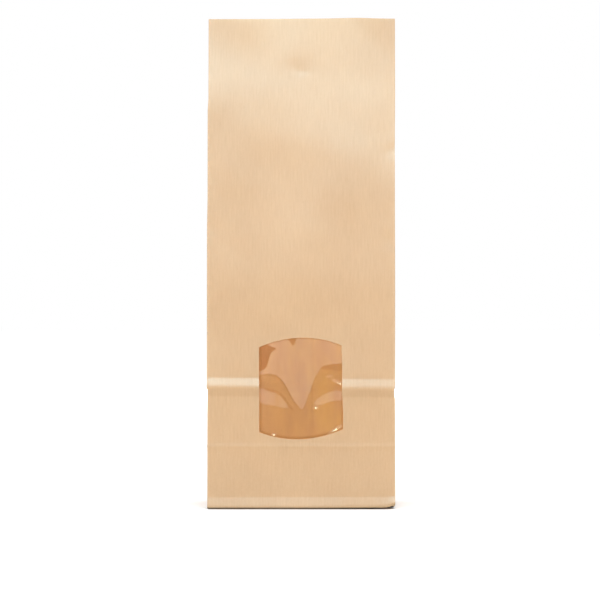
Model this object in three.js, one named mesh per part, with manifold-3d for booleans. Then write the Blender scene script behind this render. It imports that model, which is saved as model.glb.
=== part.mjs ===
// A block bottom bag of ribbed brown paper. It stands open on its folded, flat base, its side
// gussets pleat inwards towards the mouth, a fold line runs round it where the base folds up flat,
// and a clear film closes the window in its front panel.
// Millimetres, +Z up. The origin is the middle of the base, and the front panel faces -Y.

import * as THREE from 'three';
import { LoftGeometry } from 'three/addons/geometries/LoftGeometry.js';
import { mergeVertices } from 'three/addons/utils/BufferGeometryUtils.js';
import Module from 'manifold-3d';

const { clamp, lerp, degToRad, radToDeg, smoothstep } = THREE.MathUtils;

// The bag as made up: width and depth of the block bottom, height to the mouth
const BAG_WIDTH = 100;
const BAG_DEPTH = 65;
const BAG_HEIGHT = 260;
const PAPER = 0.3;
const HALF_WIDTH = BAG_WIDTH / 2;
const HALF_DEPTH = BAG_DEPTH / 2;

// How far the panels lean in for each millimetre of height: below the fold line, above it, and
// above the soft bend where the mouth starts to close. The front's bend runs down to the right.
const FOOT_SLOPE = 0.0123;
const BODY_SLOPE = 0.037;
const MOUTH_SLOPE = 0.085;
const BEND_HEIGHT = 198;
const FRONT_BEND_FALL = 0.315;

// The foot: the lowest strip of each wall stands proud of the panel above it and rolls under
const FOOT_STEP = 1;
const FOOT_ROLL = 1.4;
const FOOT_TUCK = 1;
const FOOT_CREST = 2.6;
const FOOT_HEIGHT = 6.5;

// Fold lines across the panels, as ridges: where the base folds up, and at half the base's depth
const FOLD_HEIGHT = BAG_DEPTH;
const FOLD_RIDGE = 1.1;
const FOLD_REACH = 5;
const FOLD_DROOP = 1.1;
const FOLD_DROOP_REACH = 20;
const HALF_FOLD_HEIGHT = HALF_DEPTH + 1.2;
const HALF_FOLD_RIDGE = 0.2;
const HALF_FOLD_REACH = 1.2;

// The front right corner of the base is bent up a little
const CORNER_BEND = 0.8;
const CORNER_BEND_REACH = 45;
const CORNER_CRUSH = 1.4;
const CORNER_CRUSH_REACH = 7;

// The base: three layers of paper, with the flaps meeting in an overlap across the middle
const BASE_LAYERS = 3;
const FLAP_OVERLAP = 13;
const FLAP_MARGIN = 12;
const FLAT_PART_OF_BASE = 0.8;

// The glued seam down the back: one edge is a step, the other fades into the panel
const SEAM_WIDTH = 14;
const SEAM_FADE = 6;
const SEAM_EDGE = 0.4;

// The window: straight sides, with an arch at the top and at the bottom
const WINDOW_WIDTH = 44;
const WINDOW_SIDE = 45;
const WINDOW_RISE = 4.5;
const WINDOW_CENTRE = new THREE.Vector3(-0.3, 0, 64);
const ARCH_SEGMENTS = 14;

// The film behind the window, glued outside the opening and slack across it
const FILM_WIDTH = 60;
const FILM_HEIGHT = 70;
const FILM = 0.15;
const FILM_GAP = 0.3;
const FILM_SLACK = 1.5;
const FILM_MARGIN = 7.5;

// The film's wrinkles fan out from one point: directions in degrees from +X towards +Z, and the
// slope of the film's surface along each, outwards where it is positive
const WRINKLE_CENTRE = new THREE.Vector2(0.4, 53);
const WRINKLES = [
  { direction: -90, slope: 0.01 },
  { direction: 8, slope: 0.045 },
  { direction: 28, slope: -0.035 },
  { direction: 58, slope: 0.05 },
  { direction: 92, slope: -0.06 },
  { direction: 124, slope: 0.05 },
  { direction: 151, slope: -0.035 },
  { direction: 174, slope: 0.045 },
  { direction: 270, slope: 0.01 },
];

// The grid. The sides' cells and the lowest rows share one step, so that the 45 degree creases of
// the gussets run from corner to corner.
const PANEL_CELLS = 14;
const SIDE_CELLS = 10;
const CREASE_STEP = BAG_DEPTH / SIDE_CELLS;
const ROW_STEP = 13;
const ROLL_ANGLES = [0, 30, 60].map(degToRad);
const FILM_STEP = 4;

const wasm = await Module();
wasm.setup();

// A ridge of height 1 at the centre, falling straight to 0 at the given reach
const tent = (offset, reach) => Math.max(0, 1 - Math.abs(offset) / reach);

// Evenly spaced fractions from 0 up to, but not including, 1
const fractions = (count) => Array.from({ length: count }, (_, i) => i / count);

// How far a panel whose bend is at the given height has leaned in at height z
function leanIn(z, bend) {
  const below = Math.min(z, FOLD_HEIGHT);
  const middle = clamp(z, FOLD_HEIGHT, bend) - FOLD_HEIGHT;
  const above = Math.max(0, z - bend);
  return FOOT_SLOPE * below + BODY_SLOPE * middle + MOUTH_SLOPE * above;
}

// 0 on the foot's crest, 1 on the panel above the foot
const aboveFoot = (z) => clamp((z - FOOT_CREST) / (FOOT_HEIGHT - FOOT_CREST), 0, 1);

// Distance of a panel from the middle plane of the bag, without its fold lines
const panelDistance = (z, bend) => HALF_DEPTH - FOOT_STEP * aboveFoot(z) - leanIn(z, bend);

const frontDistance = (x, z) => panelDistance(z, BEND_HEIGHT - FRONT_BEND_FALL * x);
const backDistance = (z) => panelDistance(z, BEND_HEIGHT);

// How far the fold lines stand out of a panel at height z
const foldRidge = (z) =>
  FOLD_RIDGE * tent(z - FOLD_HEIGHT, FOLD_REACH) +
  HALF_FOLD_RIDGE * tent(z - HALF_FOLD_HEIGHT, HALF_FOLD_REACH);

// How far the glued seam stands out of the back panel
function seamRelief(x, z) {
  const fading = smoothstep(x, -SEAM_WIDTH / 2 - SEAM_FADE, -SEAM_WIDTH / 2);
  return x > SEAM_WIDTH / 2 ? 0 : PAPER * fading * aboveFoot(z);
}

// How far a side panel folds in at height z, where across runs from -1 at its front corner to 1 at
// its back corner: flat triangles stand on the base, and a centre pleat deepens above them
function pleatDepth(x, z, across) {
  const height = Math.max(z, HALF_DEPTH);
  const halfSpan = (frontDistance(x, height) + backDistance(height)) / 2;
  const fullDepth = Math.sqrt(Math.max(0, HALF_DEPTH ** 2 - halfSpan ** 2));
  return fullDepth * Math.min(z / HALF_DEPTH, 1 - Math.abs(across));
}

// Where the grid's columns stand on the back panel, with an extra one at the foot of the seam's step
const backFractions = [
  ...fractions(PANEL_CELLS),
  ...[SEAM_WIDTH / 2, SEAM_WIDTH / 2 + SEAM_EDGE].map((x) => 0.5 - x / BAG_WIDTH),
].sort((a, b) => a - b);

// The columns of the grid, counterclockwise from the front left corner as seen from above
const columns = [
  ...fractions(PANEL_CELLS).map((t) => ({ panel: 'front', t })),
  ...fractions(SIDE_CELLS).map((t) => ({ panel: 'right', t })),
  ...backFractions.map((t) => ({ panel: 'back', t })),
  ...fractions(SIDE_CELLS).map((t) => ({ panel: 'left', t })),
];

// The outside of the bag at height z, in one column
function wallPoint({ panel, t }, z) {
  if (panel === 'front') {
    const x = lerp(-HALF_WIDTH, HALF_WIDTH, t);
    return new THREE.Vector3(x, -frontDistance(x, z) - foldRidge(z), z);
  }
  if (panel === 'back') {
    const x = lerp(HALF_WIDTH, -HALF_WIDTH, t);
    return new THREE.Vector3(x, backDistance(z) + foldRidge(z) + seamRelief(x, z), z);
  }
  const side = panel === 'right' ? 1 : -1;
  const across = side * (2 * t - 1);
  const frontY = -frontDistance(side * HALF_WIDTH, z) - foldRidge(z);
  const backY = backDistance(z) + foldRidge(z);
  const x = side * (HALF_WIDTH - pleatDepth(side * HALF_WIDTH, z, across));
  return new THREE.Vector3(x, lerp(frontY, backY, (across + 1) / 2), z);
}

// The bends that shift a point up or down: the drooping fold line and the bent front right corner
function heightShift({ x, y, z }) {
  const towardsFrontRight = (0.5 + x / BAG_WIDTH) * (0.5 - y / BAG_DEPTH);
  const droop = FOLD_DROOP * towardsFrontRight * tent(z - FOLD_HEIGHT, FOLD_DROOP_REACH);
  const fromCorner = Math.hypot(HALF_WIDTH - x, HALF_DEPTH + y);
  const bend = CORNER_BEND * tent(fromCorner, CORNER_BEND_REACH);
  const crush = CORNER_CRUSH * tent(fromCorner, CORNER_CRUSH_REACH) ** 2;
  const nearBase = clamp(1 - (z - FOOT_ROLL) / FOOT_HEIGHT, 0, 1);
  return (bend + crush) * nearBase - droop;
}

const bent = (ring) => ring.map((p) => new THREE.Vector3(p.x, p.y, p.z + heightShift(p)));

// Moves a ring inwards by the same distance all round, each corner along its mitre
function insetRing(ring, distance) {
  const inward = (from, to) => new THREE.Vector3(from.y - to.y, to.x - from.x, 0).normalize();
  return ring.map((point, i) => {
    const before = inward(ring.at(i - 1), point);
    const after = inward(point, ring[(i + 1) % ring.length]);
    const mitre = before.clone().add(after).multiplyScalar(distance / (1 + before.dot(after)));
    return point.clone().add(mitre);
  });
}

const ringAt = (z) => columns.map((column) => wallPoint(column, z));

// A ring shrunk towards the bag's axis and laid flat at height z
const shrunkRing = (ring, part, z) => ring.map((p) => new THREE.Vector3(part * p.x, part * p.y, z));

// The heights of the wall's rows: the foot, the gusset triangles, the fold lines, then even steps
function rowHeights() {
  const creaseRows = fractions(SIDE_CELLS / 2).map((t) => HALF_DEPTH * t + CREASE_STEP);
  const halfFold = [-1, 0, 1].map((side) => HALF_FOLD_HEIGHT + side * HALF_FOLD_REACH);
  const fold = [-FOLD_DROOP_REACH, -FOLD_REACH, 0, FOLD_REACH, FOLD_DROOP_REACH].map((offset) =>
    FOLD_HEIGHT + offset);
  const aboveCount = Math.ceil((BAG_HEIGHT - FOLD_HEIGHT - FOLD_DROOP_REACH) / ROW_STEP);
  const above = Array.from({ length: aboveCount }, (_, i) => BAG_HEIGHT - i * ROW_STEP);
  const all = [FOOT_ROLL, FOOT_CREST, ...creaseRows, ...halfFold, ...fold, ...above];
  return all.sort((a, b) => a - b).filter((z, i) => i === 0 || z - all[i - 1] > PAPER);
}

// Turns the diagonal of each quad that the test picks by its row and column, in a loft of closed rings
function turnDiagonals(geometry, rows, ringLength, isTurned) {
  const index = geometry.getIndex();
  for (let row = 0; row < rows; row += 1) {
    for (let column = 0; column < ringLength; column += 1) {
      if (!isTurned(row, column)) continue;
      const first = 6 * (row * ringLength + column);
      const a = index.getX(first);
      const b = index.getX(first + 1);
      const c = index.getX(first + 4);
      const d = index.getX(first + 5);
      [a, b, c, a, c, d].forEach((vertex, i) => index.setX(first + i, vertex));
    }
  }
}

// A closed geometry as a solid. Points that coincide are merged, and triangles left without area go.
function solidOf(geometry) {
  const bare = new THREE.BufferGeometry();
  bare.setAttribute('position', geometry.getAttribute('position'));
  bare.setIndex(geometry.getIndex());
  const merged = mergeVertices(bare);
  const index = Array.from(merged.getIndex().array);
  const triVerts = [];
  for (let i = 0; i < index.length; i += 3) {
    const [a, b, c] = index.slice(i, i + 3);
    if (a !== b && b !== c && c !== a) triVerts.push(a, b, c);
  }
  return new wasm.Manifold(new wasm.Mesh({
    numProp: 3,
    vertProperties: merged.getAttribute('position').array,
    triVerts: new Uint32Array(triVerts),
  }));
}

function geometryOf(solid) {
  const { vertProperties, triVerts } = solid.getMesh();
  const geometry = new THREE.BufferGeometry();
  geometry.setAttribute('position', new THREE.BufferAttribute(vertProperties, 3));
  geometry.setIndex(new THREE.BufferAttribute(triVerts, 1));
  geometry.computeVertexNormals();
  return geometry;
}

// The bag's skin as one closed loft: out from the middle of the underside, up the outside, over the
// rim, down the inside and in to the middle of the floor. The diagonals in the side panels lie along
// the 45 degree creases, so half of each panel's are turned: the half that comes first in the rows up
// the outside, and the other half in the rows down the inside.
function bagSkin() {
  const heights = rowHeights();
  const floor = BASE_LAYERS * PAPER;
  const footRing = ringAt(0);
  const floorRing = insetRing(ringAt(floor), PAPER);
  const roll = ROLL_ANGLES.map((angle) =>
    insetRing(footRing, FOOT_TUCK * (1 - Math.sin(angle)))
      .map((p) => p.setZ(FOOT_ROLL * (1 - Math.cos(angle)))));
  const outside = [
    shrunkRing(footRing, 0, 0),
    shrunkRing(footRing, FLAT_PART_OF_BASE, 0),
    ...roll.map(bent),
    ...heights.map((z) => bent(ringAt(z))),
  ];
  const inside = [
    ...heights.toReversed().slice(0, -1).map((z) => bent(insetRing(ringAt(z), PAPER))),
    bent(floorRing),
    shrunkRing(floorRing, FLAT_PART_OF_BASE, floor),
    shrunkRing(floorRing, 0, floor),
  ];
  const geometry = new LoftGeometry([...outside, ...inside]);
  const outsideRows = outside.length - 1;
  turnDiagonals(geometry, outsideRows + inside.length, columns.length, (row, column) => {
    const { panel, t } = columns[column];
    const isSide = panel === 'right' || panel === 'left';
    return isSide && (t < 0.5) === (row < outsideRows);
  });
  return solidOf(geometry);
}

// A prism on an outline in the XY plane, from z = bottom to z = top
function prism(outline, bottom, top) {
  const shape = new THREE.Shape(outline.map(([x, y]) => new THREE.Vector2(x, y)));
  const geometry = new THREE.ExtrudeGeometry(shape, { depth: top - bottom, bevelEnabled: false });
  return solidOf(asIndexed(geometry.translate(0, 0, bottom)));
}

const asIndexed = (geometry) => {
  geometry.deleteAttribute('normal');
  geometry.deleteAttribute('uv');
  return mergeVertices(geometry);
};

// What the underside lacks where it has fewer layers of paper. The front flap lies outermost, the
// back flap under it, and both have 45 degree ends that leave the gussets' end triangles bare.
function undersideSteps() {
  const reachX = HALF_WIDTH + FLAP_MARGIN;
  const reachY = HALF_DEPTH + FLAP_MARGIN;
  const freeEdge = FLAP_OVERLAP / 2;
  const tipX = HALF_WIDTH - HALF_DEPTH - freeEdge;
  const besideFrontFlap = [
    [-reachX, -reachY], [-tipX, freeEdge], [tipX, freeEdge], [reachX, -reachY],
    [reachX, reachY], [-reachX, reachY],
  ];
  const rightEnd = [[reachX, -reachY], [reachX, reachY], [HALF_WIDTH - HALF_DEPTH, 0]];
  const leftEnd = rightEnd.map(([x, y]) => [-x, -y]);
  return [
    prism(besideFrontFlap, -FLAP_MARGIN, PAPER),
    prism(rightEnd, -FLAP_MARGIN, 2 * PAPER),
    prism(leftEnd, -FLAP_MARGIN, 2 * PAPER),
  ];
}

// The window's outline, arched at the top and the bottom, pushed through the front panel
function windowCutter() {
  const halfWidth = WINDOW_WIDTH / 2;
  const radius = (halfWidth ** 2 + WINDOW_RISE ** 2) / (2 * WINDOW_RISE);
  const spread = Math.asin(halfWidth / radius);
  const archCentre = WINDOW_SIDE / 2 + WINDOW_RISE - radius;
  const shape = new THREE.Shape();
  shape.absarc(0, archCentre, radius, Math.PI / 2 - spread, Math.PI / 2 + spread);
  shape.absarc(0, -archCentre, radius, -Math.PI / 2 - spread, -Math.PI / 2 + spread);
  const geometry = new THREE.ExtrudeGeometry(shape, {
    depth: HALF_DEPTH,
    bevelEnabled: false,
    curveSegments: ARCH_SEGMENTS,
  });
  geometry.rotateX(Math.PI / 2);
  geometry.translate(WINDOW_CENTRE.x, -HALF_DEPTH / 2, WINDOW_CENTRE.z);
  return solidOf(asIndexed(geometry));
}

function paperBag() {
  const bag = [...undersideSteps(), windowCutter()].reduce((solid, cut) => solid.subtract(cut), bagSkin());
  const material = new THREE.MeshStandardMaterial({ color: 0xe0bd92, roughness: 0.6, metalness: 0 });
  const mesh = new THREE.Mesh(geometryOf(bag), material);
  mesh.name = 'paper_bag';
  return mesh;
}

// The slope of the wrinkled film along the ray from the wrinkles' centre through a point
function wrinkleSlope(x, z) {
  const direction = radToDeg(Math.atan2(z - WRINKLE_CENTRE.y, x - WRINKLE_CENTRE.x));
  const turned = direction < WRINKLES[0].direction ? direction + 360 : direction;
  const next = WRINKLES.findIndex((wrinkle) => wrinkle.direction >= turned);
  const after = WRINKLES[Math.max(1, next)];
  const before = WRINKLES[Math.max(1, next) - 1];
  const t = (turned - before.direction) / (after.direction - before.direction);
  return lerp(before.slope, after.slope, t);
}

// How far behind the paper the film lies: on it at the glued border, slack behind the window
function filmDepth(x, z) {
  const acrossEdge = FILM_WIDTH / 2 - Math.abs(x - WINDOW_CENTRE.x);
  const upEdge = FILM_HEIGHT / 2 - Math.abs(z - WINDOW_CENTRE.z);
  const slack = smoothstep(Math.min(acrossEdge, upEdge), 0, FILM_MARGIN);
  const fromCentre = WRINKLE_CENTRE.distanceTo(new THREE.Vector2(x, z));
  return FILM_GAP + slack * Math.max(0, FILM_SLACK - fromCentre * wrinkleSlope(x, z));
}

// The film as a thin sheet: each section is a flat loop, along its outside and back along its
// inside, and the first and last sections close up to an edge. The inside's diagonals are turned to
// lie over those of the outside, so that the sheet is equally thick all over.
function filmSheet() {
  const across = Math.round(FILM_WIDTH / FILM_STEP);
  const up = Math.round(FILM_HEIGHT / FILM_STEP);
  const outside = (x, z) => new THREE.Vector3(x, filmDepth(x, z) + PAPER - frontDistance(x, z), z);
  const sections = [];
  for (let row = 0; row <= up; row += 1) {
    const z = WINDOW_CENTRE.z + FILM_HEIGHT * (row / up - 0.5);
    const thickness = row === 0 || row === up ? 0 : FILM;
    const line = Array.from({ length: across + 1 }, (_, i) =>
      outside(WINDOW_CENTRE.x + FILM_WIDTH * (i / across - 0.5), z));
    const inside = line.slice(1, -1).reverse().map((p) => p.clone().setY(p.y + thickness));
    sections.push([...line, ...inside]);
  }
  const geometry = new LoftGeometry(sections);
  turnDiagonals(geometry, up, 2 * across, (row, column) => column >= across);
  return solidOf(geometry);
}

function windowFilm() {
  const material = new THREE.MeshStandardMaterial({
    color: 0xf4f1ea,
    roughness: 0.12,
    metalness: 0,
    transparent: true,
    opacity: 0.3,
  });
  const mesh = new THREE.Mesh(geometryOf(filmSheet()), material);
  mesh.name = 'window_film';
  return mesh;
}

const bag = new THREE.Group();
bag.add(paperBag(), windowFilm());

export default bag;
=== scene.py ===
"""The block bottom bag as the photo shows it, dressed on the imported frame.

Ribbed kraft paper with its folds and dents, the wrinkled clear film in its window, and a plain bright
studio. The shapes are worked out in millimetres, as the frame's source does, and become metres where
a mesh is made. The finishes, lights and camera are in metres from the start.
"""

import logging
import math
from collections.abc import Sequence
from dataclasses import dataclass
from enum import Enum
from typing import Any

import bpy
import numpy as np
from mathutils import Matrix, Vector

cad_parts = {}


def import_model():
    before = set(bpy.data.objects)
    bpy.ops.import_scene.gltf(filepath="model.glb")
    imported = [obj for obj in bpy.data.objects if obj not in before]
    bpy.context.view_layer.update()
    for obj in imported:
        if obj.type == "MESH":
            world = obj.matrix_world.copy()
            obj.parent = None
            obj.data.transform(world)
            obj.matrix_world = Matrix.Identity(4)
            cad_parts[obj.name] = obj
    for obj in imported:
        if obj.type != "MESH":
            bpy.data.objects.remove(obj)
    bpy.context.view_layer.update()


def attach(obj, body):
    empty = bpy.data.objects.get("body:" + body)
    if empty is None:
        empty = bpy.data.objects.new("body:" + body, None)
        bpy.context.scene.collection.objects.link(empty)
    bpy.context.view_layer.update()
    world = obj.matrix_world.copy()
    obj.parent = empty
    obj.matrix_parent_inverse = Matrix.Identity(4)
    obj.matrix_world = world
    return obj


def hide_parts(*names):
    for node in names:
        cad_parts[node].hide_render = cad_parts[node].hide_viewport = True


LOG = logging.getLogger("bag")
MM = 0.001
ABOVE_FILM = 110.0
Array = np.ndarray
Colour = tuple[float, float, float, float]
Line = tuple[tuple[float, float], ...]


class Panel(Enum):
    """The bag's four panels, in the order in which the sheet runs round it."""

    FRONT = 0
    RIGHT = 1
    BACK = 2
    LEFT = 3


class Channel(Enum):
    """What a piece's mesh carries for its finish, corner by corner or point by point.

    SHEET is the place on the flat sheet. FOLD marks worn folds on the paper, together with a painted
    lightening of the lower walls and part of the fold's painted highlight, and on the film a painted
    shadow along the window's cut edge. LAYERS counts the paper's layers, and on the film how far its
    darker tint covers. The last channel marks painted shade on the paper, a band on the fold's lower
    flank and the hollow under the foot, and on the film the small bumps whose glints get a painted
    warm tint.
    """

    SHEET = "sheet"
    FOLD = "fold"
    LAYERS = "layers"
    INSIDE = "inside"
    SHADE_AND_GLINT = "soil"


def tent(offset: Array, reach: float) -> Array:
    """A ridge of height 1 at offset 0 that falls straight to 0 at the reach."""
    return np.maximum(0.0, 1.0 - np.abs(offset) / reach)


def hump(offset: Array, reach: float) -> Array:
    """A bell of height 1 at offset 0: e to the minus square of offset over reach."""
    return np.exp(-((offset / reach) ** 2))


def smooth_step(value: Array, low: float, high: float) -> Array:
    """0 below low, 1 above high, and 3 t squared minus 2 t cubed in between."""
    t = np.clip((value - low) / (high - low), 0.0, 1.0)
    return t * t * (3.0 - 2.0 * t)


def soft_ramp(value: Array, softness: float) -> Array:
    """Near 0 below 0 and near the value above it: half of the value plus its softened size."""
    return 0.5 * (value + np.sqrt(value**2 + softness**2))


def graded(start: float, stops: Sequence[tuple[float, float]]) -> Array:
    """Positions along a line that pass exactly through every stop.

    Args:
        start: The first position.
        stops: Each stop's position, and about how far apart the positions before it lie.

    Returns:
        The positions, evenly spaced from stop to stop.
    """
    ends = [start, *(end for end, _ in stops)]
    parts = [
        np.linspace(low, high, max(1, round((high - low) / step)) + 1)[1:]
        for low, high, (_, step) in zip(ends, ends[1:], stops, strict=False)
    ]
    return np.concatenate([[start], *parts])


@dataclass(frozen=True)
class Ripples:
    """Gentle undulation of a sheet: a sum of plane waves whose directions and phases come from a seed."""

    seed: int
    count: int
    shortest: float
    longest: float
    height: float

    def at(self, u: Array, v: Array) -> Array:
        """The height at sheet coordinates u and v: the mean square of all waves together is one.

        Args:
            u: Positions across the sheet.
            v: Positions up the sheet.

        Returns:
            The undulation, in the unit of its height.
        """
        rng = np.random.default_rng(self.seed)
        turn = rng.uniform(0.0, math.pi, self.count)
        length = rng.uniform(self.shortest, self.longest, self.count)
        phase = rng.uniform(0.0, 2.0 * math.pi, self.count)
        along = u[..., None] * np.cos(turn) + v[..., None] * np.sin(turn)
        waves = np.sin(2.0 * math.pi * along / length + phase) * length / self.longest
        return self.height * math.sqrt(2.0 / self.count) * waves.sum(-1)


@dataclass(frozen=True)
class Dent:
    """A shallow bump or dent in a sheet: a bell with two widths, turned in the sheet's plane."""

    across: float
    up: float
    half_width: float
    half_height: float
    height: float
    turn: float = 0.0

    def at(self, u: Array, v: Array) -> Array:
        """The bell's height at sheet coordinates u and v.

        Args:
            u: Positions across the sheet.
            v: Positions up the sheet.

        Returns:
            The height times one hump along the turned width and one along the turned height.
        """
        c, s = math.cos(math.radians(self.turn)), math.sin(math.radians(self.turn))
        du, dv = u - self.across, v - self.up
        along = hump(c * du + s * dv, self.half_width)
        athwart = hump(c * dv - s * du, self.half_height)
        return self.height * along * athwart


@dataclass(frozen=True)
class BentCorner:
    """A part of a sheet beyond a straight line that is bent by a small slope."""

    across: float
    up: float
    turn: float
    slope: float
    softness: float = 1.2

    def at(self, u: Array, v: Array) -> Array:
        """The slope times the softened distance beyond the line, which faces the turn's direction."""
        c, s = math.cos(math.radians(self.turn)), math.sin(math.radians(self.turn))
        return self.slope * soft_ramp(c * (u - self.across) + s * (v - self.up), self.softness)


@dataclass(frozen=True)
class Wear:
    """How worn a fold or an edge is, and how far the wear fades out beside it."""

    share: float
    reach: float

    def at(self, offset: Array) -> Array:
        """The wear at an offset from the fold: its share times a bell over its reach."""
        return self.share * hump(offset, self.reach)


@dataclass(frozen=True)
class BagShape:
    """The outside of the standing bag, in millimetres: the frame's sizes, its bends and folds set finer."""

    width: float = 100.0
    depth: float = 65.0
    height: float = 260.0
    paper: float = 0.3
    foot_slope: float = 0.0123
    body_slope: float = 0.037
    mouth_slope: float = 0.085
    bend_height: float = 195.5
    bend_fall: float = 0.40
    bend_softness: float = 7.0
    mouth_curl: float = 0.00021
    foot_step: float = 0.55
    foot_roll: float = 1.4
    foot_tuck: float = 1.0
    foot_crest: float = 1.9
    foot_height: float = 6.5
    fold_height: float = 65.0
    fold_ridge: float = 0.72
    fold_slant: float = 0.10
    fold_round: float = 1.1
    fold_reach: float = 5.0
    fold_droop: float = 1.1
    fold_droop_reach: float = 20.0
    half_fold_height: float = 33.3
    half_fold_ridge: float = 0.11
    half_fold_reach: float = 2.0
    corner_bend: float = 0.8
    corner_bend_reach: float = 45.0
    corner_crush: float = 1.9
    corner_crush_reach: float = 7.0
    seam_width: float = 14.0
    seam_fade: float = 6.0

    @property
    def half_width(self) -> float:
        """Half of the bag's width."""
        return self.width / 2.0

    @property
    def half_depth(self) -> float:
        """Half of the bag's depth."""
        return self.depth / 2.0

    @property
    def girth(self) -> float:
        """The length of the sheet round the bag."""
        return 2.0 * (self.width + self.depth)

    @property
    def panel_starts(self) -> Array:
        """Where each panel starts round the sheet and where the last one ends: the widths summed up."""
        return np.cumsum([0.0, self.width, self.depth, self.width, self.depth])

    def lean_in(self, z: Array, bend: Array) -> Array:
        """How far a panel has leaned in at height z.

        Args:
            z: Heights.
            bend: The heights at which the panel bends inwards.

        Returns:
            The sum of one slope up to the fold, one from there to the bend and one above it, less a
            curl that grows with the square of the way above the bend.
        """
        above = soft_ramp(z - bend, self.bend_softness)
        middle = np.maximum(0.0, z - self.fold_height) - above
        lower = self.foot_slope * np.minimum(z, self.fold_height) + self.body_slope * middle
        return lower + self.mouth_slope * above - self.mouth_curl * above**2

    def above_foot(self, z: Array) -> Array:
        """0 on the foot's crest and 1 on the panel above the foot."""
        return np.clip((z - self.foot_crest) / (self.foot_height - self.foot_crest), 0.0, 1.0)

    def panel_distance(self, z: Array, bend: Array) -> Array:
        """A panel's distance from the bag's middle plane, without its fold lines."""
        return self.half_depth - self.foot_step * self.above_foot(z) - self.lean_in(z, bend)

    def front_distance(self, x: Array, z: Array) -> Array:
        """The front panel's distance from the middle plane: its bend runs down to the right."""
        return self.panel_distance(z, self.bend_height - self.bend_fall * x)

    def back_distance(self, z: Array) -> Array:
        """The back panel's distance from the middle plane."""
        return self.panel_distance(z, np.full_like(z, self.bend_height))

    def fold_relief(self, x: Array, z: Array) -> Array:
        """How far the two fold lines across a panel stand out.

        Args:
            x: Places across the panel.
            z: Heights.

        Returns:
            A tent over the rounded distance from the fold, lower to the right by the slant, and a
            small tent at the half fold.
        """
        rounded = tent(np.hypot(z - self.fold_height, self.fold_round), self.fold_reach)
        fold = self.fold_ridge * (1.0 - self.fold_slant * x / self.half_width) * rounded
        return fold + self.half_fold_ridge * tent(z - self.half_fold_height, self.half_fold_reach)

    def seam_relief(self, x: Array, z: Array) -> Array:
        """How far the glued seam stands out of the back panel.

        Args:
            x: Places across the back.
            z: Heights.

        Returns:
            One thickness of paper, a step at the seam's right edge and faded at its left one.
        """
        half = self.seam_width / 2.0
        fading = smooth_step(x, -half - self.seam_fade, -half)
        return self.paper * fading * (x < half) * self.above_foot(z)

    def pleat_depth(self, x: Array, z: Array, across: Array) -> Array:
        """How far a side panel folds in: flat end triangles below, and a centre pleat above them.

        Args:
            x: The side panel's place, half a width to the left or right.
            z: Heights.
            across: -1 at the panel's front corner, 1 at its back corner.

        Returns:
            The depth: the pleat keeps half the bag's depth of paper on each side of its centre fold.
        """
        height = np.maximum(z, self.half_depth)
        half_span = (self.front_distance(x, height) + self.back_distance(height)) / 2.0
        full = np.sqrt(np.maximum(0.0, self.half_depth**2 - half_span**2))
        return full * np.minimum(z / self.half_depth, 1.0 - np.abs(across))

    def height_shift(self, x: Array, y: Array, z: Array) -> Array:
        """How far a point is bent up or down.

        Args:
            x: The points' places across the bag.
            y: Their places from the front to the back.
            z: Their heights.

        Returns:
            The lift of the bent and crushed front right corner near the base, less the fold's droop.
        """
        front_right = (0.5 + x / self.width) * (0.5 - y / self.depth)
        droop = self.fold_droop * front_right * tent(z - self.fold_height, self.fold_droop_reach)
        corner = np.hypot(self.half_width - x, self.half_depth + y)
        bend = self.corner_bend * tent(corner, self.corner_bend_reach)
        crush = self.corner_crush * tent(corner, self.corner_crush_reach) ** 2
        near_base = np.clip(1.0 - (z - self.foot_roll) / self.foot_height, 0.0, 1.0)
        return (bend + crush) * near_base - droop


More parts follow.
